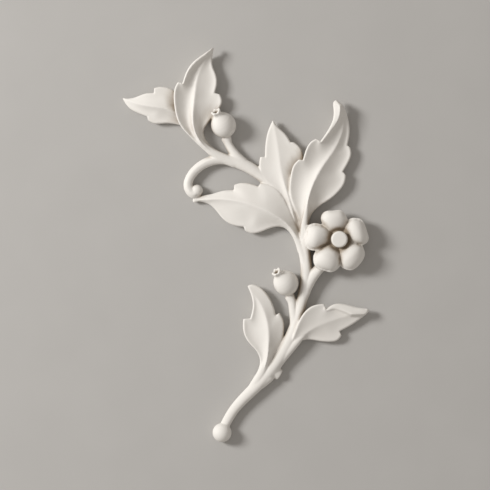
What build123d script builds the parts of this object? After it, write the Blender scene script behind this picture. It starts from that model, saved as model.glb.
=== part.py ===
from build123d import *

import os
from dataclasses import dataclass
from math import ceil, cos, pi, sin

# Floral spray for a wall, cast in plaster as one piece with a flat back.
# Millimetres. X runs across the wall, Y up the wall, Z out of it, and the back lies on Z = 0.


@dataclass
class Leaf:
    base: tuple  # where the midrib leaves its stem
    heading: float  # degrees, from +X to the line from base to tip
    length: float
    width: float
    midrib: list  # along in percent of the length, out in percent of the width
    left: list  # runs of the margin from base to tip, with a notch between runs
    right: list
    ridge: tuple  # height of the midrib at each station
    valley: tuple  # height of the hollow beside it
    brim: tuple  # height of the margin


@dataclass
class Stem:
    path: list  # centre line
    radii: tuple  # at even steps along it
    axis: float = 6  # half-round above this height and straight-sided below it
    foot: float = 0  # height of its underside


# Leaves
STATIONS = (0, 0.33, 0.66, 1)  # of the midrib, where a leaf's cross-sections stand
REACH = 1.12  # cross-sections reach past the margin by this factor
OVERRUN = 8  # and past the tip
CEILING = 60
FOOT_HEIGHT = 6  # the margins stand clear of the wall, on a foot this high
FOOT_SCALE = 0.88  # and this much smaller than the leaf, at the wall

LEAVES = [
    # Crown leaf
    Leaf(
        base=(-21, 88), heading=95.2, length=110.5, width=50,
        midrib=[(0, 0), (8.5, 30), (21, 50), (37.5, 55), (54, 49), (78.5, 34), (100, 0)],
        left=[
            [(-2, 14), (7, 37), (21, 64), (32.5, 82), (46.5, 89), (57.5, 89), (66, 85), (71, 78)],
            [(69.5, 69), (79, 60), (87.5, 45), (94, 23), (100, 0)],
        ],
        right=[
            [(-0.5, -10), (4.5, 3), (10.5, 22), (18.5, 34), (25, 36), (30.5, 29), (43, 2), (51.5, -6), (57, -3)],
            [(58.5, 7), (66.5, 1), (74.5, 1), (83, 6), (92, 5), (100, 0)],
        ],
        ridge=(11, 16, 18, 13), valley=(8, 11, 13, 11), brim=(9, 16, 18, 15),
    ),
    # Outer leaf
    Leaf(
        base=(-49, 115), heading=156.3, length=81, width=38,
        midrib=[(0, 0), (20, -19), (39.5, -21), (58, -12), (76.5, -3), (100, 0)],
        left=[
            [(-3, 14), (10, 4), (22, 5), (38.5, 16), (51, 28), (59.5, 27)],
            [(62, 19), (74, 20), (87, 17), (100, 0)],
        ],
        right=[
            [(0.5, -22), (23, -59), (39, -70), (52.5, -72), (62.5, -66), (68.5, -57)],
            [(66, -45), (76, -34), (84.5, -17), (92, -6), (100, 0)],
        ],
        ridge=(9, 12, 12, 9), valley=(7, 9, 9.5, 7), brim=(8, 11, 12, 8),
    ),
    # Rear leaf
    Leaf(
        base=(53, 11), heading=102.4, length=117, width=45,
        midrib=[(0, 0), (30, 3), (56.5, 6), (75.5, 2), (100, 0)],
        left=[
            [(-1, 12), (24, 12), (40.5, 25), (49, 43), (58, 52), (65.5, 51), (71.5, 45)],
            [(70.5, 35), (80.5, 28), (90, 18), (100, 0)],
        ],
        right=[
            [(1, -12), (23.5, -22), (44, -39), (61, -48), (71.5, -46), (77.5, -35)],
            [(78, -28), (85.5, -21), (93, -8), (100, 0)],
        ],
        ridge=(9, 12, 13, 10), valley=(7, 9, 10.5, 8), brim=(8, 10, 11, 9),
    ),
    # Great leaf
    Leaf(
        base=(58, 5), heading=76.6, length=144.5, width=55,
        midrib=[(0, 0), (12.5, 4), (30.5, 8), (50, -1), (70, -20), (86, -21), (100, 0)],
        left=[
            [(-0.5, 7), (11.5, 14), (20, 29), (30, 44), (41, 49), (50, 47), (53.5, 41)],
            [(53.5, 34), (61, 33), (67.5, 27), (70, 20)],
            [(69, 11), (77, 3), (86.5, -2), (94, 2), (98, 4), (100, 0)],
        ],
        right=[
            [(1, -9), (10.5, -5), (17, -4), (24.5, -13), (31, -29), (38.5, -43), (46.5, -50), (50.5, -49)],
            [(52.5, -42), (60, -48), (66.5, -49), (70, -45)],
            [(71, -39), (81, -37), (90.5, -27), (97, -14), (100, 0)],
        ],
        ridge=(13, 18, 20, 15), valley=(9, 12, 14, 13), brim=(11, 17, 19, 18),
    ),
    # Sweeping leaf
    Leaf(
        base=(56, -1), heading=157.5, length=117.5, width=52,
        midrib=[(0, 0), (16, -26), (35, -36), (55.5, -36), (77.5, -25), (100, 0)],
        left=[
            [(0.5, 13), (12, -14), (19.5, -20), (26.5, -15), (35.5, 3), (43.5, 14), (49, 14)],
            [(51, 8), (61.5, 13), (72.5, 7), (83, -5), (91.5, -6), (100, 0)],
        ],
        right=[
            [(-0.5, -13), (14.5, -43), (26.5, -69), (38.5, -84), (47, -85), (52.5, -82)],
            [(53, -75), (61.5, -73), (68.5, -67), (72.5, -60)],
            [(71, -50), (80, -40), (88.5, -25), (96.5, -13), (100, 0)],
        ],
        ridge=(12, 15, 14, 9), valley=(9, 11, 11, 7), brim=(10, 14, 14, 9),
    ),
    # Lower leaf
    Leaf(
        base=(13, -135), heading=96.4, length=94.5, width=41,
        midrib=[(0, 0), (14, -21), (35.5, -35), (60, -38), (80.5, -26), (100, 0)],
        left=[
            [(-3.5, 20), (7.5, 1), (19.5, -10), (30.5, -4), (41, 13), (53, 22), (66, 19)],
            [(65.5, 2), (79.5, -8), (91, -6), (100, 0)],
        ],
        right=[
            [(-1, -19), (21, -47), (39, -70), (51.5, -78), (62.5, -76), (68, -70)],
            [(66, -61), (78.5, -56), (91.5, -40), (98.5, -20), (100, 0)],
        ],
        ridge=(10, 14, 14, 11), valley=(8, 10, 10, 9), brim=(9, 13, 14, 12),
    ),
    # Side leaf
    Leaf(
        base=(43, -107), heading=28.3, length=91, width=42,
        midrib=[(0, 0), (23, 17), (42.5, 21), (68, 13), (100, 0)],
        left=[
            [(-4, 5), (8.5, 20), (21, 43), (34.5, 63), (47.5, 69), (59.5, 61)],
            [(59.5, 47), (69.5, 48), (81, 34), (90, 16), (100, 0)],
        ],
        right=[
            [(-1, -15), (11, 4), (20.5, 7), (33, -8), (46, -27), (55, -32), (60.5, -27)],
            [(61, -16), (74.5, -16), (88, -13), (100, 0)],
        ],
        ridge=(11, 13, 13, 11), valley=(9, 10, 10.5, 9.5), brim=(10, 14, 14, 13),
    ),
]

# Stems
STEM_STEP = 20  # longest straight stretch along a stem
STEM_FLATS = 5  # round its top
STEMS = [
    # Main stem
    Stem(
        [(-23, -188), (-11, -165.5), (10, -142.5), (33, -116.5), (48, -87), (56, -54), (60, -20),
         (53, 12), (38, 45), (20, 67), (-2, 81.5), (-19, 87)],
        (4.3, 4.7, 5.6, 6, 5.6, 5, 5.3, 5.5, 5.2, 5, 5.2, 4.6),
    ),
    # Tendril
    Stem(
        [(-5, 82.5), (-23, 86.7), (-37, 84), (-49, 76.5), (-56.3, 66.5), (-57, 57), (-51.5, 51)],
        (4.2, 4.4, 4.5, 4.5, 4.4, 4.3, 4.2, 4.2, 4.2, 4.2, 4.2),
    ),
    # Stalks of the upper hip, the lower hip and the flower
    Stem([(12, 73), (-4, 85), (-13.5, 96.5), (-19, 113)], (4, 4.8, 3.9, 4.6)),
    Stem([(47, -92), (50.5, -78), (48, -64), (42.5, -45)], (4.4, 4.6, 3.9, 4.8)),
    Stem([(53, -66), (58, -50), (67, -32), (82, -16)], (4.2, 4.6, 4.6, 4.6)),
    # Stub of a cut twig, and the side leaf's stalk beside it
    Stem([(22, -123.5), (34.3, -130.7)], (6, 5)),
    Stem([(30, -126), (36, -117.5), (43, -108), (51, -98.5), (58, -91)], (3.2, 3.8, 4, 3.6, 2.4)),
]

# Rolled lip on the great leaf's margin, just below the tip
LIP = Stem([(76, 103.5), (82, 111), (86.5, 119), (90.5, 127), (92.5, 135), (92.5, 141.5)],
           (1.2, 1.6, 2.4, 3.4, 4.4, 4.2), axis=16, foot=6)

# Balls at the stem's foot and in the tendril's curl
FOOT_BALL_AT, FOOT_BALL_R = (-23, -188), 10
CURL_BALL_AT, CURL_BALL_R = (-49, 54), 6.5
BALL_AXIS = 6
ROUND_RINGS = 7  # up a ball or a hip, from its lower flat to its upper one
ROUND_SIDES = 14  # round it

# Hips, the two berries with a crown at the free end
HIPS = [((-21.5, 120), 121.5), ((41, -38), 131)]  # centre, and heading of the crown
HIP_R = 12.6
HIP_AXIS = 11
CROWN_TILT = 32  # up from the wall
CROWN_NECK_R = 4.2
CROWN_RIM_R = 5
CROWN_NECK_AT = 13.5
CROWN_TOP = 18
CROWN_PIT_R = 1.5
CROWN_PIT_DEEP = 4

# Flower
FLOWER_AT = (94, 5.5)
PETAL_SIDE = [(11.4, 3.2), (10.8, 7.2), (8.4, 11), (4.4, 13.7), (0, 14.6),
              (-4.6, 13.7), (-8.5, 11), (-11.2, 6.8), (-12.2, 2.2)]  # half its outline, out from the eye and across
PETAL_LEVELS = [(0, 0.88), (11, 1), (18, 0.91), (22.5, 0.66), (25, 0.22)]  # height, scale
PETALS = [(24, 19.2), (101, 19.5), (173.5, 22.5), (237, 21.3), (309, 20.8)]  # angle, distance from the eye
FLOWER_FOOT_R = 18
EYE_R = 8.2
EYE_TOP = 23.5
EYE_BEVEL = 1


def section_plane(curve, share, overrun=0):
    """Upright plane across a level curve, with its local Y up."""
    tangent = curve % share
    place = (curve @ share) + tangent * overrun
    return Plane(origin=place, x_dir=Vector(0, 0, 1).cross(tangent), z_dir=tangent)


def outlined(outline, middle):
    """Body that a leaf is cut from: the outline straight up, on a foot that draws in towards the middle."""
    with BuildPart() as body:
        for height, scale in ((0, FOOT_SCALE), (FOOT_HEIGHT, 1), (CEILING, 1)):
            with BuildSketch(Plane.XY.offset(height)):
                with Locations(middle * (1 - scale)):
                    add(outline.scale(scale))
        loft(ruled=True)
    return body.part


def leaf_solid(leaf):
    def drawn(points):
        return [(along * leaf.length / 100, out * leaf.width / 100) for along, out in points]

    leaf_plane = Plane(origin=(*leaf.base, 0), x_dir=Vector(1, 0, 0).rotate(Axis.Z, leaf.heading))
    with BuildLine(leaf_plane) as midrib:
        Spline(*drawn(leaf.midrib))
    rib = midrib.edge()
    margin = [leaf_plane.from_local_coords(Vector(*p)) for run in leaf.left + leaf.right for p in drawn(run)]
    reach = REACH * max(rib.distance_to(Vertex(*p)) for p in margin)

    with BuildSketch(leaf_plane) as outline:
        with BuildLine():
            for side in (leaf.left, leaf.right):
                runs = [drawn(run) for run in side]
                for run in runs:
                    Spline(*run)
                for run, following in zip(runs, runs[1:]):
                    Line(run[-1], following[0])
            Line(drawn(leaf.left[0])[0], drawn(leaf.right[0])[0])
        make_face()
    body = outlined(outline.sketch, rib @ 0.5)

    with BuildPart() as blade:
        for share, ridge, valley, brim in zip(STATIONS, leaf.ridge, leaf.valley, leaf.brim):
            with BuildSketch(section_plane(rib, share, OVERRUN if share == STATIONS[-1] else 0)):
                with BuildLine():
                    Spline((reach, brim), (reach / 2, valley), (0, ridge))
                    Spline((0, ridge), (-reach / 2, valley), (-reach, brim))
                    Polyline((-reach, brim), (-reach, 0), (reach, 0), (reach, brim))
                make_face()
        loft()
        add(body, mode=Mode.INTERSECT)
    return blade.part


def stem_solid(stem):
    with BuildLine() as centre:
        Spline(*stem.path)
    line = centre.edge()
    spans = len(stem.radii) - 1
    steps = spans * ceil(line.length / spans / STEM_STEP)
    with BuildPart() as strand:
        for step in range(steps + 1):
            span, along = divmod(step * spans / steps, 1)
            span = int(span)
            radius = stem.radii[span]
            if along:
                radius += along * (stem.radii[span + 1] - radius)
            with BuildSketch(section_plane(line, step / steps)):
                turns = [pi * flat / STEM_FLATS for flat in range(STEM_FLATS + 1)]
                arch = [(radius * cos(turn), stem.axis + radius * sin(turn)) for turn in turns]
                Polygon((radius, stem.foot), *arch, (-radius, stem.foot), align=None)
        loft(ruled=True)
    return strand.part


def ball_rings(radius):
    """Radius and height of each ring up a ball."""
    turns = [pi * (ring + 0.5) / ROUND_RINGS for ring in range(ROUND_RINGS)]
    return [(radius * sin(turn), -radius * cos(turn)) for turn in turns]


def turned_solid(rings):
    with BuildPart() as body:
        for radius, height in rings:
            with BuildSketch(Plane.XY.offset(height)):
                RegularPolygon(radius, ROUND_SIDES)
        loft(ruled=True)
    return body.part


leaves = [leaf_solid(leaf) for leaf in LEAVES]
stems = [stem_solid(stem) for stem in [*STEMS, LIP]]

hip_body = turned_solid([*ball_rings(HIP_R)[:-1], (CROWN_NECK_R, CROWN_NECK_AT), (CROWN_RIM_R, CROWN_TOP)])
foot_ball = turned_solid(ball_rings(FOOT_BALL_R))
curl_ball = turned_solid(ball_rings(CURL_BALL_R))

with BuildPart() as hip:
    add(hip_body)
    with Locations((0, 0, CROWN_TOP)):
        Cylinder(CROWN_PIT_R, CROWN_PIT_DEEP, align=(Align.CENTER, Align.CENTER, Align.MAX), mode=Mode.SUBTRACT)

with BuildPart() as petal:
    for height, scale in PETAL_LEVELS:
        with BuildSketch(Plane.XY.offset(height)):
            side = [(out * scale, across * scale) for out, across in PETAL_SIDE]
            Polygon(*side, *[(out, -across) for out, across in reversed(side)], align=None)
    loft(ruled=True)

with BuildPart() as flower:
    Cylinder(FLOWER_FOOT_R, PETAL_LEVELS[1][0], align=(Align.CENTER, Align.CENTER, Align.MIN))
    for angle, distance in PETALS:
        with PolarLocations(distance, 1, start_angle=angle):
            add(petal.part)
    Cylinder(EYE_R, EYE_TOP, align=(Align.CENTER, Align.CENTER, Align.MIN))
    chamfer(flower.edges().filter_by(GeomType.CIRCLE).sort_by(Axis.Z)[-1:], EYE_BEVEL)

with BuildPart() as rounds:
    for place, heading in HIPS:
        with Locations(Location((*place, HIP_AXIS), (0, 0, heading))):
            add(hip.part, rotation=(0, 90 - CROWN_TILT, 0))
    with Locations((*FOOT_BALL_AT, BALL_AXIS)):
        add(foot_ball)
    with Locations((*CURL_BALL_AT, BALL_AXIS)):
        add(curl_ball)
    split(bisect_by=Plane.XY, keep=Keep.TOP)

with BuildPart() as spray:
    add(leaves)
    add(stems)
    add(rounds.part)
    with Locations((*FLOWER_AT, 0)):
        add(flower.part)

# The origin is on the wall, behind the middle of the spray
middle = spray.part.bounding_box().center()
with BuildPart() as floral_spray:
    with Locations((-middle.X, -middle.Y, 0)):
        add(spray.part)

floral_spray.part.label = "floral_spray"
os.makedirs("parts", exist_ok=True)
export_step(floral_spray.part, "parts/floral_spray.step")
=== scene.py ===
import math
import bmesh
import bpy
import numpy as np
from mathutils import Euler, Matrix, Vector
from mathutils.bvhtree import BVHTree
from mathutils.geometry import delaunay_2d_cdt


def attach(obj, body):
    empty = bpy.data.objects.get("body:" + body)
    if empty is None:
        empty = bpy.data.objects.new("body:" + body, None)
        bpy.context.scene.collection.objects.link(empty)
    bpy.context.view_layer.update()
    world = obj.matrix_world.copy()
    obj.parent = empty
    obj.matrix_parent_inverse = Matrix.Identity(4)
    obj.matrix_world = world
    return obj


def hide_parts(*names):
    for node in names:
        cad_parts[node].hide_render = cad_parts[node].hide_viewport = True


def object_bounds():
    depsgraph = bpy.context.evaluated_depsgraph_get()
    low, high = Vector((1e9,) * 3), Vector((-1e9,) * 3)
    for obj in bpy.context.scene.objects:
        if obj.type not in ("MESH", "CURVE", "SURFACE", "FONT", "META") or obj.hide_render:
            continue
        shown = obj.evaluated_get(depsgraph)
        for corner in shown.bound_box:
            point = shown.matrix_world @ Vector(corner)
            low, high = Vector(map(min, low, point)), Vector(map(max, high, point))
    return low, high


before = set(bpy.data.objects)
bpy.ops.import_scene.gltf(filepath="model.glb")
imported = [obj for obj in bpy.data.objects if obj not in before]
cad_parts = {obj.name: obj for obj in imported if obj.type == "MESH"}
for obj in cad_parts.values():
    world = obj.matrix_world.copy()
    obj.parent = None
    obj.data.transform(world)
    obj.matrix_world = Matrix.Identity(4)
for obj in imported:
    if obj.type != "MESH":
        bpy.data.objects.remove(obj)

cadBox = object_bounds()
wallOffset = (-0.583, -0.148)  # mm, shift of the drawing that brings the casting's middle to the origin
mm = 0.001
behindWall = -1.0  # mm, how far undersides go before the back is cut off at the wall
weld = 1e-7  # metres, points closer than this are one


# Small tools

def linearColour(code):
    parts = [int(code[k:k + 2], 16) / 255 for k in (1, 3, 5)]
    return [c / 12.92 if c <= 0.04045 else ((c + 0.055) / 1.055) ** 2.4 for c in parts] + [1.0]


def addNode(tree, kind, settings=None, inputs=None, links=None):
    # settings are attributes, inputs are socket values, links are socket to (node, output)
    node = tree.nodes.new(kind)
    for name, value in (settings or {}).items():
        setattr(node, name, value)
    for name, value in (inputs or {}).items():
        node.inputs[name].default_value = value
    for name, (other, output) in (links or {}).items():
        tree.links.new(other.outputs[output], node.inputs[name])
    return node


def runLength(points):
    return np.concatenate(([0.0], np.cumsum(np.linalg.norm(np.diff(points, axis=0), axis=1))))


def curveThrough(points, spacing):
    # natural cubic through the points, sampled at even steps
    p = np.array(points, float)
    t = runLength(p)
    h, n = np.diff(t), len(p)
    a, b = np.eye(n), np.zeros_like(p)
    for k in range(1, n - 1):
        a[k, k - 1:k + 2] = h[k - 1], 2 * (h[k - 1] + h[k]), h[k]
        b[k] = 6 * ((p[k + 1] - p[k]) / h[k] - (p[k] - p[k - 1]) / h[k - 1])
    m = np.linalg.solve(a, b)
    s = np.linspace(0, t[-1], max(2, int(t[-1] / spacing) + 1))
    k = np.clip(np.searchsorted(t, s, side="right") - 1, 0, n - 2)
    w = h[k][:, None]
    u = (s - t[k])[:, None]
    v = w - u
    bend = (m[k] * v**3 + m[k + 1] * u**3) / (6 * w)
    return bend + (p[k] / w - m[k] * w / 6) * v + (p[k + 1] / w - m[k + 1] * w / 6) * u


def newObject(name, data):
    thing = bpy.data.objects.new(name, data)
    bpy.context.scene.collection.objects.link(thing)
    return thing


def meshObject(name, vertices, faces):
    mesh = bpy.data.meshes.new(name)
    mesh.from_pydata([tuple(v) for v in vertices], [], [tuple(f) for f in faces])
    mesh.update()
    return newObject(name, mesh)


def triangleCount(mesh):
    return sum(len(f.vertices) - 2 for f in mesh.polygons)


def neighbourMean(values, a, b):
    # mean at the other ends of each point's links, which run from a to b
    count = len(values)
    uses = (np.bincount(a, minlength=count) + np.bincount(b, minlength=count)).clip(1)
    return (np.bincount(a, values[b], count) + np.bincount(b, values[a], count)) / uses


def nearest(points, line):
    # distance to the line's nearest sample and its index
    gaps = np.linalg.norm(points[:, None, :] - line[None, :, :], axis=2)
    index = gaps.argmin(axis=1)
    return gaps[np.arange(len(points)), index], index


def inside(points, loop):
    a, b = loop, np.roll(loop, -1, axis=0)
    x, y = points[:, 0:1], points[:, 1:2]
    crosses = (a[:, 1] > y) != (b[:, 1] > y)
    climb = np.where(b[:, 1] == a[:, 1], 1e-9, b[:, 1] - a[:, 1])  # a level side is never crossed
    at = a[:, 0] + (y - a[:, 1]) * (b[:, 0] - a[:, 0]) / climb
    return (crosses & (x < at)).sum(axis=1) % 2 == 1


def filled(loop, line, step):
    # triangles over a closed outline, with an inner line kept as an edge
    rowHeight = 0.866 * step  # rows of an even triangle grid
    clear = 0.6 * step  # kept free of grid points beside the outline and the line
    low, high = loop.min(axis=0), loop.max(axis=0)
    rows = []
    for k, y in enumerate(np.arange(low[1], high[1], rowHeight)):
        x = np.arange(low[0] + step * (k % 2) / 2, high[0], step)
        rows.append(np.stack([x, np.full_like(x, y)], axis=1))
    grid = np.vstack(rows)
    grid = grid[inside(grid, loop)]
    grid = grid[nearest(grid, loop)[0] > clear]
    edges = [(k, (k + 1) % len(loop)) for k in range(len(loop))]
    flat = [loop]
    if line is not None:
        grid = grid[nearest(grid, line)[0] > clear]
        edges += [(len(loop) + k, len(loop) + k + 1) for k in range(len(line) - 1)]
        flat.append(line)
    flat = np.vstack(flat + [grid])
    result = delaunay_2d_cdt([Vector(p) for p in flat], edges, [], 1, 1e-5)  # 1 keeps what lies inside
    points = np.array([tuple(p) for p in result[0]])
    triangles = np.array([tuple(f) for f in result[2]])
    a, b, c = (points[triangles[:, k]] for k in range(3))
    flip = (b[:, 0] - a[:, 0]) * (c[:, 1] - a[:, 1]) - (b[:, 1] - a[:, 1]) * (c[:, 0] - a[:, 0]) < 0
    triangles[flip] = triangles[flip][:, ::-1]
    return points, triangles


def shell(name, points, triangles, top, under):
    # closed body between two heights over the same triangles
    count = len(points)
    vertices = np.vstack([np.column_stack([points, top]), np.column_stack([points, under])])
    sides = set()
    for p, q, r in triangles:
        sides.update(((p, q), (q, r), (r, p)))
    walls = [(q, p, p + count, q + count) for p, q in sorted(sides) if (q, p) not in sides]
    faces = [tuple(t) for t in triangles] + [tuple(t[::-1] + count) for t in triangles] + walls
    return meshObject(name, vertices, faces)


# Leaves: drawn outline, then modelled between midrib and margin
# along and out are percent of length and width, heights are mm at four stations from base to tip,
# crease is how sharply the midrib falls to its left and right, cup how late the blade rises to each margin,
# and lips fold up the margin along the last run to the tip:
# mm to the fold and its rise, at even steps from the run's start

leaves = [
    dict(
        name="crown", base=(-21, 88), heading=95.2, length=110.5, width=50,
        midrib=[(0, 0), (8.5, 30), (21, 50), (37.5, 55), (54, 49), (78.5, 34), (100, 0)],
        left=[
            [(-2, 14), (7, 37), (21, 64), (32.5, 82), (46.5, 89), (57.5, 89), (66, 85), (71, 78)],
            [(69.5, 69), (79, 60), (87.5, 45), (94, 23), (100, 0)],
        ],
        right=[
            [(-0.5, -10), (4.5, 3), (10.5, 22), (18.5, 34), (25, 36), (30.5, 29), (43, 2), (51.5, -6),
             (57, -3)],
            [(58.5, 7), (66.5, 1), (74.5, 1), (83, 6), (92, 5), (100, 0)],
        ],
        ridge=(8, 17.4, 14.2, 11.5), crease=(4.5, 1.7), cup=(1.2, 6),
        hollowLeft=(6, 8, 9.4, 10.2), brimLeft=(6.5, 17, 19.6, 15),
        hollowRight=(6, 8.4, 9.4, 9), brimRight=(6.5, 10, 11.6, 9.6),
        lips=dict(left=dict(width=(1.4, 2.6, 2.8, 2.2), rise=(0.8, 1.8, 2, 1.6))),
    ),
    dict(
        name="outer", base=(-49, 115), heading=156.3, length=81, width=38,
        midrib=[(0, 0), (20, -19), (39.5, -21), (58, -12), (76.5, -3), (100, 0)],
        left=[
            [(-3, 14), (10, 4), (22, 5), (38.5, 16), (51, 28), (59.5, 27)],
            [(62, 19), (74, 20), (87, 17), (100, 0)],
        ],
        right=[
            [(0.5, -22), (23, -59), (39, -70), (52.5, -72), (62.5, -66), (68.5, -57)],
            [(66, -45), (76, -34), (84.5, -17), (92, -6), (100, 0)],
        ],
        ridge=(7, 11.8, 13, 5), crease=(1.5, 1.8), cup=(4, 3),
        hollowLeft=(5, 5, 6.2, 4.2), brimLeft=(6, 7.2, 8.2, 4.6),
        hollowRight=(5, 7.8, 9.8, 4.6), brimRight=(6, 8.8, 10.6, 4.8),
    ),
    dict(
        name="rear", base=(53, 11), heading=102.4, length=117, width=45,
        midrib=[(0, 0), (30, 3), (56.5, 6), (75.5, 2), (100, 0)],
        left=[
            [(-1, 12), (24, 12), (40.5, 25), (49, 43), (58, 52), (65.5, 51), (71.5, 45)],
            [(70.5, 35), (80.5, 28), (90, 18), (100, 0)],
        ],
        right=[
            [(1, -12), (23.5, -22), (44, -39), (61, -48), (71.5, -46), (77.5, -35)],
            [(78, -28), (85.5, -21), (93, -8), (100, 0)],
        ],
        ridge=(7, 13, 12, 9.5), crease=(2.4, 1.6), cup=(2, 6),
        hollowLeft=(5.5, 8.6, 9.6, 8.6), brimLeft=(6, 10.4, 10.4, 8.8),
        hollowRight=(5.5, 8, 10, 9), brimRight=(6, 9, 10.8, 9.2),
    ),
    dict(
        name="great", base=(58, 5), heading=76.6, length=144.5, width=55,
        midrib=[(0, 0), (12.5, 4), (30.5, 8), (50, -1), (70, -20), (86, -21), (100, 0)],
        left=[
            [(-0.5, 7), (11.5, 14), (20, 29), (30, 44), (41, 49), (50, 47), (53.5, 41)],
            [(53.5, 34), (61, 33), (67.5, 27), (70, 20)],
            [(69, 11), (77, 3), (86.5, -2), (94, 2), (98, 4), (100, 0)],
        ],
        right=[
            [(1, -9), (10.5, -5), (17, -4), (24.5, -13), (31, -29), (38.5, -43), (46.5, -50), (50.5, -49)],
            [(52.5, -42), (60, -48), (66.5, -49), (70, -45)],
            [(71, -39), (81, -37), (90.5, -27), (97, -14), (100, 0)],
        ],
        ridge=(9, 19, 13.8, 12), crease=(3, 1.7), cup=(1.3, 6),
        hollowLeft=(6, 9, 10.6, 11.4), brimLeft=(6.5, 16, 20.4, 12.4),
        hollowRight=(6, 8.4, 7.6, 8.6), brimRight=(6.5, 10, 9.4, 9.2),
        lips=dict(left=dict(width=(1.6, 3, 6, 8.5), rise=(1, 2.2, 4.8, 6))),
    ),
    dict(
        name="sweeping", base=(56, -1), heading=157.5, length=117.5, width=52,
        midrib=[(0, 0), (16, -26), (35, -36), (55.5, -36), (77.5, -25), (100, 0)],
        left=[
            [(0.5, 13), (12, -14), (19.5, -20), (26.5, -15), (35.5, 3), (43.5, 14), (49, 14)],
            [(51, 8), (61.5, 13), (72.5, 7), (83, -5), (91.5, -6), (100, 0)],
        ],
        right=[
            [(-0.5, -13), (14.5, -43), (26.5, -69), (38.5, -84), (47, -85), (52.5, -82)],
            [(53, -75), (61.5, -73), (68.5, -67), (72.5, -60)],
            [(71, -50), (80, -40), (88.5, -25), (96.5, -13), (100, 0)],
        ],
        ridge=(8.5, 18.8, 16, 5.6), crease=(1.25, 1.1), cup=(5, 4),
        hollowLeft=(7.6, 6.4, 6.6, 4.4), brimLeft=(9, 8.8, 9.4, 4.9),
        hollowRight=(7, 10.6, 8.8, 4.6), brimRight=(7.5, 11.2, 9.4, 4.8),
    ),
    dict(
        name="lower", base=(13, -135), heading=96.4, length=94.5, width=41,
        midrib=[(0, 0), (14, -21), (35.5, -35), (60, -38), (80.5, -26), (100, 0)],
        left=[
            [(-3.5, 20), (7.5, 1), (19.5, -10), (30.5, -4), (41, 13), (53, 22), (66, 19)],
            [(65.5, 2), (79.5, -8), (91, -6), (100, 0)],
        ],
        right=[
            [(-1, -19), (21, -47), (39, -70), (51.5, -78), (62.5, -76), (68, -70)],
            [(66, -61), (78.5, -56), (92, -41), (99.4, -22), (101, -7), (100, 0)],
        ],
        ridge=(8.5, 16.2, 13.6, 11), crease=(1.6, 1.15), cup=(3, 3),
        hollowLeft=(6, 9.4, 10, 10), brimLeft=(6.5, 13.4, 14, 11.6),
        hollowRight=(6, 7.8, 9, 9.6), brimRight=(6, 8, 9.2, 9.8),
    ),
    dict(
        name="side", base=(43, -107), heading=28.3, length=91, width=42,
        midrib=[(0, 0), (23, 17), (42.5, 21), (68, 13), (100, 0)],
        left=[
            [(-4, 5), (8.5, 20), (21, 43), (34.5, 63), (47.5, 69), (59.5, 61)],
            [(59.5, 47), (69.5, 48), (81, 34), (90, 16), (100, 0)],
        ],
        right=[
            [(3, -5), (11, 4), (20.5, 7), (33, -8), (46, -27), (55, -32), (60.5, -27)],
            [(61, -16), (74.5, -16), (88, -13), (97, -8.5), (100.4, -3.5), (100, 0)],
        ],
        ridge=(9, 12.6, 11, 10), crease=(3, 1.3), cup=(1.15, 6),
        hollowLeft=(7, 11, 10.2, 9.8), brimLeft=(7.5, 17.4, 13, 11.2),
        hollowRight=(7, 7.2, 6.8, 8.2), brimRight=(7, 8, 7.4, 8.4),
        lips=dict(left=dict(width=(2, 6, 8, 5), rise=(0.6, 2.4, 4.6, 3.6))),
    ),
]

leafStyle = dict(
    grid=0.9, ribStep=0.6, marginStep=0.7,  # mm between points of the surface, the midrib and the margin
    ribEnds=3,  # points at each end of the midrib that are no edge of the surface
    stations=(0, 33, 66, 100), stationStep=0.5,  # percent of the midrib: heights given, and steps
    ease=8, held=0.1,  # rounds of evening out, and mm beside midrib and margin that it leaves
    round=1.5, roundWidth=1.4,  # mm, rounding over of the margin
    fold=0.35,  # share of a lip's width in which its inner side falls back
    edge=3.4,  # mm, thickness of the margin
    bevel=1.3,  # fall of the underside, from the margin towards the wall
)


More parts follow.
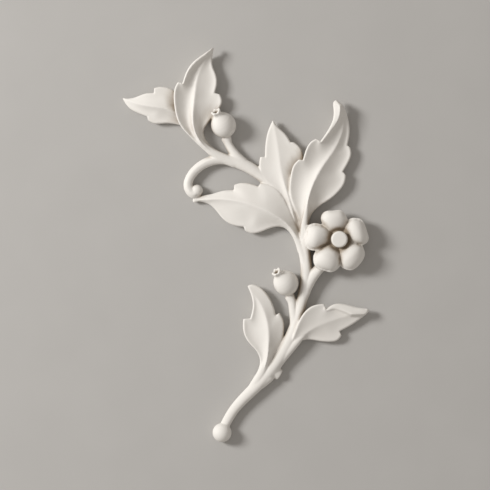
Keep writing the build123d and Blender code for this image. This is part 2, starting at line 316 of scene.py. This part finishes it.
def leafObject(leaf, style):
    turn = math.radians(leaf["heading"])
    axes = np.array([[math.cos(turn), math.sin(turn)], [-math.sin(turn), math.cos(turn)]])
    sizes = np.array([leaf["length"], leaf["width"]]) / 100

    def drawn(run, step):
        return curveThrough((np.array(run) * sizes) @ axes + np.array(leaf["base"]), step)

    rib = drawn(leaf["midrib"], style["ribStep"])
    left = np.vstack([drawn(run, style["marginStep"]) for run in leaf["left"]])
    right = np.vstack([drawn(run, style["marginStep"]) for run in leaf["right"]])
    loop = np.vstack([left, right[::-1][1:]])
    points, triangles = filled(loop, rib[style["ribEnds"]:-style["ribEnds"]], style["grid"])
    out, station = nearest(points, rib)
    gap = nearest(points, loop)[0]
    along = np.gradient(rib, axis=0)[station]
    away = points - rib[station]
    onLeft = along[:, 0] * away[:, 1] - along[:, 1] * away[:, 0] > 0
    share = out / np.maximum(out + gap, 1e-6)
    where = station / (len(rib) - 1) * 100

    def level(values):
        track = curveThrough(list(zip(style["stations"], values)), style["stationStep"])
        return np.interp(where, track[:, 0], track[:, 1])

    ridge = level(leaf["ridge"])
    hollow = np.where(onLeft, level(leaf["hollowLeft"]), level(leaf["hollowRight"]))
    brim = np.where(onLeft, level(leaf["brimLeft"]), level(leaf["brimRight"]))
    crease, cup = (np.where(onLeft, *leaf[kind]) for kind in ("crease", "cup"))
    top = hollow + (ridge - hollow) * (1 - share) ** crease + (brim - hollow) * share ** cup
    held = (out < style["held"]) | (gap < style["held"])
    a, b = triangles.ravel(), np.roll(triangles, -1, axis=1).ravel()
    for _ in range(style["ease"]):
        top = np.where(held, top, neighbourMean(top, a, b))
    for side, lip in leaf.get("lips", {}).items():
        margin = drawn(leaf[side][-1], style["marginStep"])
        reach, at = nearest(points, margin)
        steps = np.linspace(0, 1, len(lip["width"]))
        width, rise = (np.interp(at / (len(margin) - 1), steps, lip[kind]) for kind in ("width", "rise"))
        top += rise * np.minimum(reach / width, np.clip(1 - (reach / width - 1) / style["fold"], 0, 1))
    top -= style["round"] * np.clip(1 - gap / style["roundWidth"], 0, 1) ** 2
    under = np.maximum(behindWall, top - style["edge"] - style["bevel"] * gap)
    return shell("leaf_" + leaf["name"], points, triangles, top, under)


forms = [leafObject(leaf, leafStyle) for leaf in leaves]
print("leaves", len(forms), sum(len(o.data.polygons) for o in forms), "faces")


# Strands: stems, stalks, tendril, twig and a leaf's tip, each a tube along its path
# points are x, y and height of the centre in mm, thick is the radius at each point,
# ridge draws the round top towards a roof, and blunt shortens the rounding of the ends

strands = [
    dict(
        name="stem",
        points=[(-23, -188, 5), (-10.8, -166, 5), (10.8, -143.2, 5.5), (33, -116.5, 6), (49.4, -87, 6),
                (58, -54, 6), (62, -20, 5.4), (55, 12, 3), (38, 45, 4), (20, 67, 5.4), (-2, 81.5, 6),
                (-19, 87, 6)],
        thick=[4.2, 4.4, 5.2, 5.9, 5.5, 4.6, 5.0, 5.5, 5.2, 5, 5.2, 4.6],
    ),
    dict(
        name="tendril",
        points=[(-5, 82.5, 6), (-23, 86.7, 6), (-37, 84, 6), (-49, 76.5, 6), (-56.3, 66.5, 6),
                (-57, 56.5, 6), (-51, 51, 6), (-46.5, 54, 6.4)],
        thick=[4.4, 4.5, 4.3, 4.1, 4.0, 4.2, 4.5, 4.6], ridge=0.55,
    ),
    dict(
        name="upper_stalk",
        points=[(12, 73, 6), (-4, 85, 6), (-13.5, 96.5, 6), (-17.2, 104, 6), (-18, 106.8, 6),
                (-19, 110, 6)],
        thick=[4, 4.6, 3.8, 3.9, 4.5, 4.2],
    ),
    dict(
        name="lower_stalk",
        points=[(47.5, -92, 6), (50.4, -78, 6), (48.6, -64, 6), (47, -55, 6), (46, -52.4, 6), (44, -48, 6)],
        thick=[4.2, 4.3, 3.7, 4.0, 4.4, 4.3],
    ),
    dict(
        name="flower_stalk",
        points=[(55, -66, 6), (60, -50, 6), (68, -33, 7), (82, -16, 9)],
        thick=[4, 4.4, 4.6, 4.6],
    ),
    dict(
        name="twig",
        points=[(24, -124.6, 5.6), (29.6, -128, 4.2), (34.9, -131.2, 2.9)],
        thick=[5.8, 5.4, 5.1], blunt=0.12,
    ),
    dict(
        name="twig_shoulder",
        points=[(8, -146, 5), (18, -137.4, 5.2), (28, -129.4, 5.4)],
        thick=[4.2, 5.2, 5],
    ),
    dict(
        name="twig_root",
        points=[(13, -142, 5.6), (24, -130.8, 6.2), (31, -122.8, 6.2), (39, -112, 5.6)],
        thick=[2.8, 4.4, 4.4, 2.8],
    ),
    dict(
        name="side_leaf_stalk",
        points=[(26, -131, 5.5), (33, -121, 6.5), (41, -110, 7.5), (50, -99.5, 8.6), (58, -91, 9.4),
                (66, -85, 10)],
        thick=[2.6, 3.4, 3.9, 3.6, 2.6, 1.2],
    ),
    dict(
        name="lower_leaf_stalk",
        points=[(5, -147, 5.5), (13, -135.5, 6.8), (20, -121, 9.2), (23.4, -103, 11.6), (23, -88, 12.4)],
        thick=[3.4, 4.0, 3.2, 2.0, 1.0],
    ),
    dict(
        name="crown_leaf_stalk",
        points=[(-6, 82, 6), (-21, 87.5, 7), (-36.5, 96.2, 9.3), (-47.6, 109, 12.4), (-51.8, 124, 14.2)],
        thick=[4.6, 4.4, 3.2, 1.9, 0.9],
    ),
    dict(
        name="great_leaf_stalk",
        points=[(62, -22, 5.8), (61.2, -4, 7), (59.6, 8, 9), (60, 23, 12.4), (63.6, 46, 16.6)],
        thick=[4.6, 3.8, 3.8, 2.8, 0.9],
    ),
    dict(
        name="sweeping_leaf_stalk",
        points=[(61.4, -20, 6), (55.8, -1, 7), (50.8, 9.5, 8.6), (44.2, 18.6, 10.8), (34, 26.4, 13)],
        thick=[4.2, 3.2, 2.8, 2.0, 0.9],
    ),
    dict(
        name="sweeping_leaf_tip",
        points=[(-52.4, 43.9, 3.8), (-47.5, 45.4, 4.4), (-41, 47.6, 4.4)],
        thick=[2.0, 2.1, 0.9],
    ),
]

strandStyle = dict(
    step=0.8,  # mm between points of a path
    tip=0.02,  # share of an end's rounding that is left off at its point
    sides=24, depth=1.3,  # sides of a tube, and how far its lower half is drawn down
)


def strandLine(strand, style):
    # place and radius along the path, with the ends drawn in to a round or a blunt cut
    line = curveThrough([(*p, t) for p, t in zip(strand["points"], strand["thick"])], style["step"])
    run = runLength(line[:, :3])
    for left, radius in ((run, strand["thick"][0]), (run[-1] - run, strand["thick"][-1])):
        near = np.clip(left / (radius * strand.get("blunt", 1.0)), style["tip"], 1)
        line[:, 3] *= np.sqrt(1 - (1 - near) ** 2)
    return line


def newTree(name, sizes):
    # Geometry Nodes tree with a named input for each size, and its input node
    tree = bpy.data.node_groups.new(name, "GeometryNodeTree")
    face = tree.interface
    face.new_socket("Geometry", in_out="INPUT", socket_type="NodeSocketGeometry")
    for label, value in sizes.items():
        kind = "NodeSocketInt" if isinstance(value, int) else "NodeSocketFloat"
        face.new_socket(label, in_out="INPUT", socket_type=kind).default_value = value
    face.new_socket("Material", in_out="INPUT", socket_type="NodeSocketMaterial")
    face.new_socket("Geometry", in_out="OUTPUT", socket_type="NodeSocketGeometry")
    return tree, addNode(tree, "NodeGroupInput")


def closeTree(tree, given, shape):
    # real geometry with the given material goes out
    real = addNode(tree, "GeometryNodeRealizeInstances", links={"Geometry": shape})
    cased = addNode(tree, "GeometryNodeSetMaterial",
                    links={"Geometry": (real, "Geometry"), "Material": (given, "Material")})
    addNode(tree, "NodeGroupOutput", links={"Geometry": (cased, "Geometry")})
    return tree


def buildStrandTree(style):
    # tube along a chain of points, round or ridged above, with its lower half drawn down to the wall
    sizes = {"Sides": style["sides"], "Depth": style["depth"], "Ridge": 0.0}
    tree, given = newTree("strand along a path", sizes)
    path = addNode(tree, "GeometryNodeMeshToCurve", links={"Mesh": (given, "Geometry")})
    upright = addNode(tree, "GeometryNodeSetCurveNormal", {"mode": "Z_UP"},
                      links={"Curve": (path, "Curve")})
    girth = addNode(tree, "GeometryNodeInputNamedAttribute", {"data_type": "FLOAT"}, {"Name": "thick"})
    ring = addNode(tree, "GeometryNodeCurvePrimitiveCircle", {"mode": "RADIUS"}, {"Radius": 1.0},
                   {"Resolution": (given, "Sides")})
    spot = addNode(tree, "GeometryNodeInputPosition")
    parts = addNode(tree, "ShaderNodeSeparateXYZ", links={"Vector": (spot, "Position")})  # X is up
    below = addNode(tree, "ShaderNodeMath", {"operation": "LESS_THAN"}, {1: 0.0}, {0: (parts, "X")})
    deep = addNode(tree, "ShaderNodeMath", {"operation": "MULTIPLY"},
                   links={0: (parts, "X"), 1: (given, "Depth")})
    aside = addNode(tree, "ShaderNodeMath", {"operation": "ABSOLUTE"}, links={0: (parts, "Y")})
    roof = addNode(tree, "ShaderNodeMath", {"operation": "SUBTRACT"}, {0: 1.0}, {1: (aside, 0)})
    fall = addNode(tree, "ShaderNodeMath", {"operation": "SUBTRACT"},
                   links={0: (roof, 0), 1: (parts, "X")})
    arch = addNode(tree, "ShaderNodeMath", {"operation": "MULTIPLY_ADD"},
                   links={0: (fall, 0), 1: (given, "Ridge"), 2: (parts, "X")})
    choose = addNode(tree, "GeometryNodeSwitch", {"input_type": "FLOAT"},
                     links={"Switch": (below, 0), "False": (arch, 0), "True": (deep, 0)})
    moved = addNode(tree, "ShaderNodeCombineXYZ",
                    links={"X": (choose, 0), "Y": (parts, "Y"), "Z": (parts, "Z")})
    profile = addNode(tree, "GeometryNodeSetPosition",
                      links={"Geometry": (ring, "Curve"), "Position": (moved, "Vector")})
    tube = addNode(tree, "GeometryNodeCurveToMesh", inputs={"Fill Caps": True},
                   links={"Curve": (upright, "Curve"), "Profile Curve": (profile, "Geometry"),
                          "Scale": (girth, "Attribute")})
    return closeTree(tree, given, (tube, "Mesh"))


def setInputs(modifier, values):
    for item in modifier.node_group.interface.items_tree:
        if item.item_type == "SOCKET" and item.in_out == "INPUT" and item.name in values:
            modifier[item.identifier] = values[item.name]


def settled(thing, name):
    # plain mesh object of what the modifiers make
    bpy.context.view_layer.update()
    graph = bpy.context.evaluated_depsgraph_get()
    shown = thing.evaluated_get(graph)
    mesh = bpy.data.meshes.new_from_object(shown, preserve_all_data_layers=True, depsgraph=graph)
    mesh.name = name
    made = newObject(name, mesh)
    bpy.data.objects.remove(thing)
    return made


plasterLook = dict(
    tints=("#ECE8E2", "#F5F2ED"), cloud=22 * mm,  # two tones of the white, and the size of its clouds
    paintedShade="#A09280",  # painted shade in the folds, where the casting covers its own sky
    grain=0.9 * mm, relief=0.12 * mm, strength=0.25,  # grit, drawn coarser than real so that it shows
    pores=5 * mm, pit=(0.03, 0.07), pitDepth=0.35,  # pinholes: spacing, shares of it to floor and rim
    rough=(0.62, 0.8), specular=0.35,
)


def newMaterial(name):
    look = bpy.data.materials.new(name)
    look.use_nodes = True
    look.node_tree.nodes.clear()
    return look, look.node_tree


def plasterMaterial(style):
    # matt cast plaster: warm white with painted shade darkening the hollows, fine sandy grain and rare
    # pinholes
    look, tree = newMaterial("cast plaster, matt white")
    place = addNode(tree, "ShaderNodeTexCoord")
    cloud = addNode(tree, "ShaderNodeTexNoise",
                    inputs={"Scale": 1 / style["cloud"], "Detail": 3.0, "Roughness": 0.55},
                    links={"Vector": (place, "Object")})
    first, second = (linearColour(code) for code in style["tints"])
    tint = addNode(tree, "ShaderNodeMix", {"data_type": "RGBA"}, {6: first, 7: second}, {0: (cloud, "Fac")})
    # painted shade: the hollow attribute mixes the white towards warm grey where the casting covers its own
    # sky
    paintedShadeMask = addNode(tree, "ShaderNodeAttribute", {"attribute_name": "hollow"})
    paintedShade = addNode(tree, "ShaderNodeMix", {"data_type": "RGBA"}, {7: linearColour(style["paintedShade"])},
                   {0: (paintedShadeMask, "Fac"), 6: (tint, 2)})
    grain = addNode(tree, "ShaderNodeTexNoise",
                    inputs={"Scale": 1 / style["grain"], "Detail": 4.0, "Roughness": 0.6},
                    links={"Vector": (place, "Object")})
    pores = addNode(tree, "ShaderNodeTexVoronoi", {"feature": "F1"}, {"Scale": 1 / style["pores"]},
                    {"Vector": (place, "Object")})
    pitFloor, pitEdge = style["pit"]
    pit = addNode(tree, "ShaderNodeMapRange",
                  inputs={"From Min": pitFloor, "From Max": pitEdge, "To Min": 0.0, "To Max": 1.0},
                  links={"Value": (pores, "Distance")})
    height = addNode(tree, "ShaderNodeMath", {"operation": "MULTIPLY_ADD"}, {1: style["pitDepth"]},
                     {0: (pit, 0), 2: (grain, "Fac")})
    bump = addNode(tree, "ShaderNodeBump",
                   inputs={"Strength": style["strength"], "Distance": style["relief"]},
                   links={"Height": (height, 0)})
    smoothest, roughest = style["rough"]
    rough = addNode(tree, "ShaderNodeMapRange", inputs={"To Min": smoothest, "To Max": roughest},
                    links={"Value": (grain, "Fac")})
    shader = addNode(tree, "ShaderNodeBsdfPrincipled", inputs={"Specular IOR Level": style["specular"]},
                     links={"Base Color": (paintedShade, 2), "Roughness": (rough, 0), "Normal": (bump, "Normal")})
    addNode(tree, "ShaderNodeOutputMaterial", links={"Surface": (shader, "BSDF")})
    return look


plaster = plasterMaterial(plasterLook)
strandTree = buildStrandTree(strandStyle)
for strand in strands:
    line = strandLine(strand, strandStyle)
    thing = meshObject("path_" + strand["name"], line[:, :3], [])
    thing.data.edges.add(len(line) - 1)
    thing.data.edges.foreach_set("vertices", [n for k in range(len(line) - 1) for n in (k, k + 1)])
    thing.data.attributes.new("thick", "FLOAT", "POINT").data.foreach_set("value", line[:, 3])
    tube = thing.modifiers.new("strand", "NODES")
    tube.node_group = strandTree
    setInputs(tube, {"Sides": strandStyle["sides"], "Depth": strandStyle["depth"],
                     "Ridge": strand.get("ridge", 0.0), "Material": plaster})
    forms.append(settled(thing, "strand_" + strand["name"]))
print("strands", len(strands), sum(len(o.data.polygons) for o in forms[len(leaves):]), "faces")


# Turned forms: hips, ball ends and the flower's eye, each a profile of radius and height along its axis

polePinch = 0.02  # radians, how far a round profile stays off its pole


def bulge(radius, drop, last, rings):
    # round profile from its lower pole up
    return [(radius * math.sin(a), -drop * math.cos(a)) for a in np.linspace(polePinch, last, rings)]


def turned(name, profile, place, heading=0, tilt=90, lobes=None, sides=60):
    steps = np.linspace(0, 2 * math.pi, sides, endpoint=False)
    vertices, faces = [], []
    for r, z in profile:
        swing = min(max(z - lobes["start"], 0) / lobes["grow"], 1) if lobes and r > lobes["inner"] else 0
        for a in steps:
            wave = math.cos(lobes["count"] * a) * swing if swing else 0
            reach = r * (1 + lobes["depth"] * wave) if wave else r
            lift = lobes["rise"] * wave if wave else 0
            vertices.append((reach * math.cos(a), reach * math.sin(a), z + lift))
    for k in range(len(profile) - 1):
        for j in range(sides):
            a, b = k * sides + j, k * sides + (j + 1) % sides
            faces.append((a, b, b + sides, a + sides))
    faces += [tuple(range(sides))[::-1], tuple(range((len(profile) - 1) * sides, len(profile) * sides))]
    made = meshObject(name, vertices, faces)
    turn = Euler((0, math.radians(90 - tilt), math.radians(heading))).to_matrix().to_4x4()
    made.data.transform(Matrix.Translation(place) @ turn)
    return made


hipShape = dict(
    radius=12.4, drop=13.2, rings=20,  # mm, belly and how far it reaches towards the stalk
    upper=[(12.3, 1.5), (11.6, 4.6), (10.2, 7.6), (8.2, 10.2), (6.2, 12.2), (4.9, 13.6), (4.4, 15.0),
           (4.6, 16.6), (4.9, 17.6), (4.7, 18.3), (4.1, 18.7), (3.1, 18.6), (2.3, 17.8), (1.8, 16.2),
           (1.5, 14.4), (0.1, 13.8)],
    # sepals round the crown: height where they begin, mm to their full size, least radius,
    # share of the radius that they wave by, and mm up and down
    lobes=dict(count=5, start=14, grow=3, inner=1, depth=0.1, rise=0.6),
)
hips = [
    dict(place=(-21.5, 120, 10), heading=120.5, tilt=34),
    dict(place=(41, -38, 10), heading=131, tilt=34),
]
hipProfile = bulge(hipShape["radius"], hipShape["drop"], math.pi / 2, hipShape["rings"]) + hipShape["upper"]
for k, hip in enumerate(hips):
    forms.append(turned(f"hip_{k}", hipProfile, **hip, lobes=hipShape["lobes"]))

balls = [
    dict(name="foot_ball", place=(-23, -188, 6), radius=9.5, rings=24),
    dict(name="curl_ball", place=(-48.2, 54.6, 5), radius=6.0, rings=24),
]
for ball in balls:
    circle = bulge(ball["radius"], ball["radius"], math.pi - polePinch, ball["rings"])
    forms.append(turned(ball["name"], circle, ball["place"]))

# lengths in mm, those from the flower's middle marked so
flower = dict(
    place=(94, 5.7),
    eye=[(0.1, 0), (8.3, 0), (8.35, 21.4), (8.1, 22.6), (7.3, 23.5), (6.8, 23.7), (0.1, 23.8)],
    foot=[(0.1, -1), (15, -1), (16, 12), (0.1, 12)],
    grid=1.1, marginStep=0.7,  # between points of a petal's surface and margin
    edgeHeight=14.2, rise=10, puff=0.5,  # margin and swell above it, and how full the swell is
    loose=10,  # from the middle, a petal's edge isn't held down within this
    sink=6.5, sinkStart=8, sinkCurve=1.6,  # drop beside the eye, its start from the middle, curve
    sinkWidths=(18, 14, 14, 16, 18),  # of the drop on each petal
    outerStart=14, outerWidth=6,  # from the middle, start of the turned-out margin, then its run
    flanges=(0.05, 0.12, 0.1, 0.14, 0.18),  # share of each swell given up to the turned-out margin
    rim=0.5, rimWidth=0.9,  # bead on the margin
    groove=3.2, grooveRadius=8.4, grooveWidth=2.6,  # cut round the foot of the eye
    edge=5, bevel=2.4,  # thickness of the margin, and fall of the underside from it
    petals=[
        [(-16.5, 15.3), (-18.2, 21.3), (-16, 26.3), (-12, 28.5), (-7, 28.7), (-3, 29.2), (1, 29.3),
         (5, 26.8), (7.5, 22.8), (8.8, 19.3), (7, 12.3), (3, 6), (-4, 4), (-10, 6), (-14.5, 11.5)],
        [(8.8, 19.3), (12, 21.1), (17, 21.3), (21.5, 20.3), (25, 16.3), (27, 11.3), (28.5, 6.3),
         (29.6, 2.3), (29, -1.7), (26, -4.7), (22, -6), (17, -5.2), (11, -4), (5, -2), (3, 5), (5, 13)],
        [(23, -5.2), (24.8, -9.7), (25.8, -14.7), (24.5, -19.7), (21, -24.7), (17, -28.7), (13, -30.7),
         (8, -30.5), (4.5, -29.2), (1.2, -26), (0, -18), (-1, -9), (1, -3), (8, -1), (16, -2)],
        [(2, -25.7), (-2, -30.2), (-8, -32.9), (-12, -32.2), (-16, -31.2), (-21, -29.2), (-24.5, -25.7),
         (-25.8, -20.7), (-25, -14.7), (-22, -10.7), (-18, -8.2), (-13, -5.5), (-7, -2.5), (-1, -5),
         (1.2, -12), (2, -19)],
        [(-16, 14.8), (-21, 15.8), (-26, 16), (-30.5, 14.3), (-33.5, 12.3), (-34, 9.3), (-33.8, 4.3),
         (-35.5, -0.7), (-34.5, -4.7), (-32, -8.7), (-27, -11.2), (-23, -11), (-17, -8), (-11, -4.5),
         (-5, -2), (-4, 3), (-8, 9), (-12, 13)],
    ],
)


def membrane(points, triangles, loose):
    # height of an evenly blown skin that is held along its edge, apart from its loose points, 1 at its top
    count = len(points)
    links = np.zeros((count, count))
    sides = {}
    for p, q, r in triangles:
        for a, b in ((p, q), (q, r), (r, p)):
            links[a, b] = links[b, a] = -1
            sides[tuple(sorted((a, b)))] = sides.get(tuple(sorted((a, b))), 0) + 1
    held = {p for side, uses in sides.items() if uses == 1 for p in side if not loose[p]}
    links[np.diag_indices(count)] = -links.sum(axis=1)
    load = np.ones(count)
    for p in held:
        links[p] = 0
        links[p, p] = 1
        load[p] = 0
    lift = np.linalg.solve(links, load)
    return np.clip(lift / lift.max(), 0, 1)


def petalObject(name, outline, sinkWidth, flange, flower):
    # puffed blade that sinks towards the eye, with a thin turned-out margin
    loop = curveThrough(outline + outline[:1], flower["marginStep"])[:-1]
    points, triangles = filled(loop, None, flower["grid"])
    gap = nearest(points, loop)[0]
    out = np.linalg.norm(points, axis=1)
    outer = np.clip((out - flower["outerStart"]) / flower["outerWidth"], 0, 1)
    flange = flange * outer
    swell = np.clip((membrane(points, triangles, out < flower["loose"]) - flange) / (1 - flange), 0, 1)
    inner = 1 - np.clip((out - flower["sinkStart"]) / sinkWidth, 0, 1)
    top = flower["edgeHeight"] + flower["rise"] * swell ** flower["puff"]
    top -= flower["sink"] * inner ** flower["sinkCurve"]
    top += outer * flower["rim"] * np.exp(-((gap / flower["rimWidth"]) ** 2))
    top -= flower["groove"] * np.exp(-(((out - flower["grooveRadius"]) / flower["grooveWidth"]) ** 2))
    under = np.maximum(behindWall, top - flower["edge"] - flower["bevel"] * gap)
    made = shell(name, points, triangles, top, under)
    made.data.transform(Matrix.Translation((*flower["place"], 0)))
    return made


petalRows = zip(flower["petals"], flower["sinkWidths"], flower["flanges"])
for k, (outline, sinkWidth, flange) in enumerate(petalRows):
    forms.append(petalObject(f"petal_{k}", outline, sinkWidth, flange, flower))
forms.append(turned("eye", flower["eye"], (*flower["place"], 0)))
forms.append(turned("flower_foot", flower["foot"], (*flower["place"], 0)))
print("turned forms and petals, forms in all", len(forms))


# Casting: the forms run together into one skin, softened as a mould leaves them

skin = dict(
    voxel=0.6 * mm, soften=0.5, rounds=3,  # grid that runs the forms together, and how it is evened out
    limit=190000,  # triangles
    wave=0.16 * mm, waveSize=11 * mm, seed=3,  # slow unevenness: its height, its length and which one
    shortest=1e-6,  # metres, edges below this are closed up after the cut
)


def joined(things, name):
    bm = bmesh.new()
    for thing in things:
        thing.data.transform(Matrix.Scale(mm, 4) @ Matrix.Translation((*wallOffset, 0)))
        bm.from_mesh(thing.data)
        bpy.data.objects.remove(thing)
    bmesh.ops.remove_doubles(bm, verts=bm.verts, dist=weld)
    bmesh.ops.recalc_face_normals(bm, faces=bm.faces)
    mesh = bpy.data.meshes.new(name)
    bm.to_mesh(mesh)
    bm.free()
    return newObject(name, mesh)


def buildSkinTree(skin):
    # slow unevenness of a hand-finished surface, along the normals
    sizes = {"Wave Height": skin["wave"], "Wave Size": skin["waveSize"], "Seed": 0.0}
    tree, given = newTree("hand finished skin", sizes)
    rate = addNode(tree, "ShaderNodeMath", {"operation": "DIVIDE"}, {0: 1.0}, {1: (given, "Wave Size")})
    noise = addNode(tree, "ShaderNodeTexNoise", {"noise_dimensions": "4D"}, {"Detail": 1.5},
                    {"Scale": (rate, 0), "W": (given, "Seed")})
    centred = addNode(tree, "ShaderNodeMath", {"operation": "SUBTRACT"}, {1: 0.5}, {0: (noise, "Fac")})
    amount = addNode(tree, "ShaderNodeMath", {"operation": "MULTIPLY"},
                     links={0: (centred, 0), 1: (given, "Wave Height")})
    normal = addNode(tree, "GeometryNodeInputNormal")
    push = addNode(tree, "ShaderNodeVectorMath", {"operation": "SCALE"},
                   links={"Vector": (normal, "Normal"), "Scale": (amount, 0)})
    moved = addNode(tree, "GeometryNodeSetPosition",
                    links={"Geometry": (given, "Geometry"), "Offset": (push, "Vector")})
    return closeTree(tree, given, (moved, "Geometry"))


casting = joined(forms, "forms")
remesh = casting.modifiers.new("cast", "REMESH")
remesh.mode = "VOXEL"
remesh.voxel_size = skin["voxel"]
soften = casting.modifiers.new("soften", "SMOOTH")
soften.factor = skin["soften"]
soften.iterations = skin["rounds"]
casting = settled(casting, "cast")
faceCount = triangleCount(casting.data)
print("cast skin", faceCount, "triangles")
if faceCount > skin["limit"]:
    thin = casting.modifiers.new("thin", "DECIMATE")
    thin.ratio = skin["limit"] / faceCount
waves = casting.modifiers.new("waves", "NODES")
waves.node_group = buildSkinTree(skin)
setInputs(waves, {"Wave Height": skin["wave"], "Wave Size": skin["waveSize"], "Seed": skin["seed"],
                  "Material": plaster})
casting = settled(casting, "floral_spray_cast")
mesh = casting.data


def islandsOf(bm):
    # linked points, the smallest island first
    for vert in bm.verts:
        vert.tag = False
    islands = []
    for vert in bm.verts:
        if vert.tag:
            continue
        vert.tag = True
        island = [vert]
        for here in island:
            for other in (edge.other_vert(here) for edge in here.link_edges):
                if not other.tag:
                    other.tag = True
                    island.append(other)
        islands.append(island)
    return sorted(islands, key=len)


def cutBack(mesh):
    # everything below the wall is cut off, and the back closed flat with a crisp edge
    bm = bmesh.new()
    bm.from_mesh(mesh)
    bmesh.ops.bisect_plane(bm, geom=bm.verts[:] + bm.edges[:] + bm.faces[:], dist=weld,
                           plane_co=(0, 0, 0), plane_no=(0, 0, 1), clear_inner=True)
    bmesh.ops.dissolve_degenerate(bm, dist=skin["shortest"], edges=bm.edges[:])
    crumbs = [vert for island in islandsOf(bm)[:-1] for vert in island]  # shut in by the remesh
    bmesh.ops.delete(bm, geom=crumbs, context="VERTS")
    rim = [e for e in bm.edges if e.is_boundary]
    for edge in rim:
        edge.smooth = False
    bmesh.ops.triangle_fill(bm, use_beauty=True, edges=rim)
    bmesh.ops.recalc_face_normals(bm, faces=bm.faces[:])
    for face in bm.faces:
        face.smooth = True
    print("open edges after the cut", sum(not e.is_manifold for e in bm.edges))
    bm.to_mesh(mesh)
    bm.free()
    mesh.validate()


cutBack(mesh)
spots = np.empty(len(mesh.vertices) * 3)
mesh.vertices.foreach_get("co", spots)
low, high = (np.array(corner) for corner in cadBox)
low[2] = max(low[2], 0)  # the back lies on the wall
spots = np.clip(spots.reshape(-1, 3), low, high)
mesh.vertices.foreach_set("co", spots.ravel())
mesh.update()

# painted shade in the folds, from rays cast off the casting's own surface
paintedShade = dict(
    rays=14, reach=16 * mm, lift=0.4 * mm, seed=7,  # rays from each point, their length and where they start
    scatter=0.98,  # how far they turn from the normal, 1 is the whole sky
    start=0.08, full=0.6, rounds=4,  # covered share where the painted shade begins and is full, rounds of evening out
)


def coveredShare(mesh, spots, paintedShade):
    # how much of each point's sky the casting itself covers, for the painted shade in its folds
    count = len(spots)
    normals = np.empty(count * 3)
    mesh.vertices.foreach_get("normal", normals)
    normals = normals.reshape(-1, 3)
    draw = np.random.default_rng(paintedShade["seed"])
    tree = BVHTree.FromPolygons([v.co for v in mesh.vertices], [tuple(f.vertices) for f in mesh.polygons])
    hits = np.zeros(count)
    starts = spots + normals * paintedShade["lift"]
    for _ in range(paintedShade["rays"]):
        aim = draw.normal(size=(count, 3))
        aim = normals + aim / np.linalg.norm(aim, axis=1, keepdims=True) * paintedShade["scatter"]
        found = (tree.ray_cast(Vector(a), Vector(d), paintedShade["reach"])[0] for a, d in zip(starts, aim))
        hits += [spot is not None for spot in found]
    return hits / paintedShade["rays"]


ends = np.empty(len(mesh.edges) * 2, int)
mesh.edges.foreach_get("vertices", ends)
covered = coveredShare(mesh, spots, paintedShade)
for _ in range(paintedShade["rounds"]):
    covered = neighbourMean(covered, ends[0::2], ends[1::2])
# painted shade: the covered share, evened out, is stored as the hollow attribute that darkens the plaster
# colour
hollow = (covered - paintedShade["start"]) / (paintedShade["full"] - paintedShade["start"])
print("paintedShade", np.percentile(hollow, (10, 50, 90, 99)).round(2))
mesh.attributes.new("hollow", "FLOAT", "POINT").data.foreach_set("value", np.clip(hollow, 0, 1))
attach(casting, "root")
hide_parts("floral_spray")
print("casting", triangleCount(mesh), "triangles")


# Stage: pale floor, soft light from the left and a little above, camera square on

board = dict(
    half=3.0, drop=0.2 * mm,  # metres, half its width and its gap below the back
    tints=("#BDBBB8", "#C3C1BE"), cloud=60 * mm, rough=0.9, specular=0.2,
)


def floorMaterial(style):
    # pale painted board with the faintest mottling
    look, tree = newMaterial("painted board, pale grey")
    place = addNode(tree, "ShaderNodeTexCoord")
    cloud = addNode(tree, "ShaderNodeTexNoise", inputs={"Scale": 1 / style["cloud"], "Detail": 2.0},
                    links={"Vector": (place, "Object")})
    first, second = (linearColour(code) for code in style["tints"])
    tint = addNode(tree, "ShaderNodeMix", {"data_type": "RGBA"}, {6: first, 7: second}, {0: (cloud, "Fac")})
    shader = addNode(tree, "ShaderNodeBsdfPrincipled",
                     inputs={"Roughness": style["rough"], "Specular IOR Level": style["specular"]},
                     links={"Base Color": (tint, 2)})
    addNode(tree, "ShaderNodeOutputMaterial", links={"Surface": (shader, "BSDF")})
    return look


half, drop = board["half"], board["drop"]
corners = [(-half, -half, -drop), (half, -half, -drop), (half, half, -drop), (-half, half, -drop)]
floor = meshObject("floor", corners, [(0, 1, 2, 3)])
floor.data.materials.append(floorMaterial(board))

# metres and watts, aimed at the middle of the casting
lamps = [
    dict(name="key", place=(-2.31, 0.84, 1.72), size=0.8, power=73, tone=(1.0, 0.994, 0.985)),
    dict(name="fill", place=(1.6, -0.8, 2.2), size=1.6, power=2, tone=(0.97, 0.98, 1.0)),
]
sky = dict(tone=(1.0, 0.945, 0.885, 1.0), strength=0.35)


def areaLight(name, place, size, power, tone):
    lamp = bpy.data.lights.new(name, "AREA")
    lamp.size = size
    lamp.energy = power
    lamp.color = tone
    thing = newObject(name, lamp)
    thing.location = place
    thing.rotation_euler = (-Vector(place)).to_track_quat("-Z", "Y").to_euler()


for lamp in lamps:
    areaLight(**lamp)
world = bpy.data.worlds.new("studio")
world.use_nodes = True
background = world.node_tree.nodes["Background"]
background.inputs["Color"].default_value = sky["tone"]
background.inputs["Strength"].default_value = sky["strength"]
bpy.context.scene.world = world
bpy.context.scene.view_settings.view_transform = "Standard"

view = dict(
    away=2.4, sensor=36,  # metres from the leaves, mm
    frameWidth=490 * mm, level=12 * mm,  # the photograph is 490 mm across at the height of the leaves
)
lens = bpy.data.cameras.new("camera")
lens.sensor_width = view["sensor"]
lens.lens = view["sensor"] * view["away"] / view["frameWidth"]
camera = newObject("camera", lens)
camera.location = (wallOffset[0] * mm, wallOffset[1] * mm, view["away"] + view["level"])
bpy.context.scene.camera = camera
print("stage, lights and camera")
